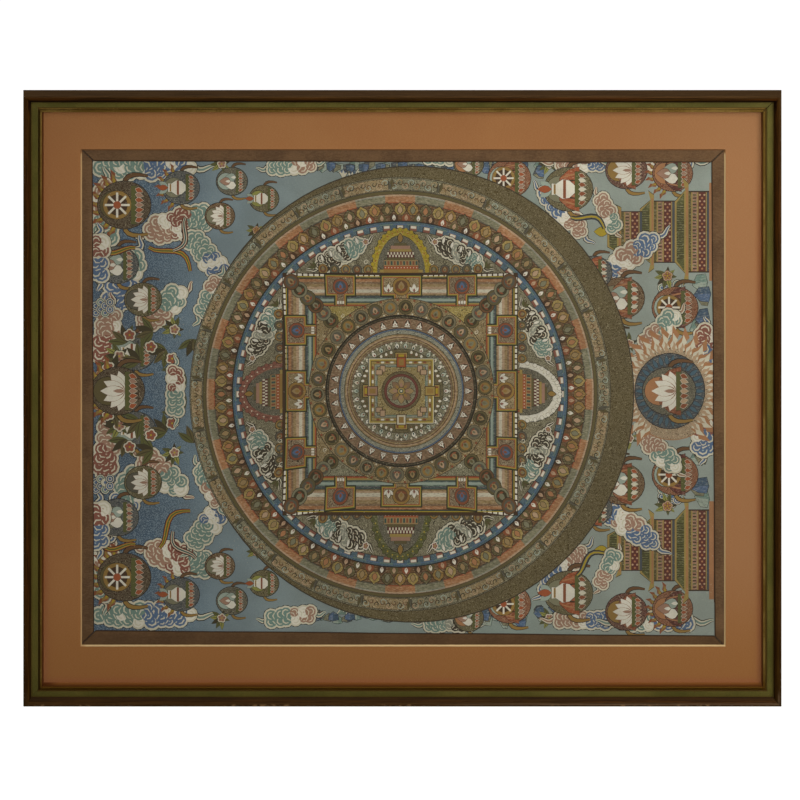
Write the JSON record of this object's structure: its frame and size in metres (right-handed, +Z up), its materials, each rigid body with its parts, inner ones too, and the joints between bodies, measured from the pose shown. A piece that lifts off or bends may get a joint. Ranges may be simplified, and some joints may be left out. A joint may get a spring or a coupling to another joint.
{
  "type": "thangka painting in a wooden picture frame",
  "caption": "Flat painted cloth with sewn border strips behind a bevelled window mat, held in a mitred wooden frame with a slip and a backing board.",
  "frame": {"origin": "middle of the picture frame's bounding box", "axes": "+X along the picture's length, +Z up as it hangs, the painted side faces -Y and the wall is on +Y"},
  "size_m": [0.963, 0.036, 0.798],
  "materials": {
    "dark_wood": "dark stained wood, satin, worn at the edges",
    "green_slip": "olive green paint with a rubbed brown-gold lip",
    "mat_board": "matt terracotta board with a cream bevel",
    "border_cloth": "plain brown woven cloth",
    "painted_cloth": "mineral colours painted on primed cotton",
    "backing_board": "plain brown hardboard"
  },
  "bodies": {
    "root": {"frame_top": "dark_wood", "frame_right": "dark_wood", "frame_bottom": "dark_wood", "frame_left": "dark_wood", "slip_top": "green_slip", "slip_right": "green_slip", "slip_bottom": "green_slip", "slip_left": "green_slip", "mat_board": "mat_board", "border_top": "border_cloth", "border_right": "border_cloth", "border_bottom": "border_cloth", "border_left": "border_cloth", "thangka_cloth": "painted_cloth", "backing_board": "backing_board"}
  },
  "joints": []
}
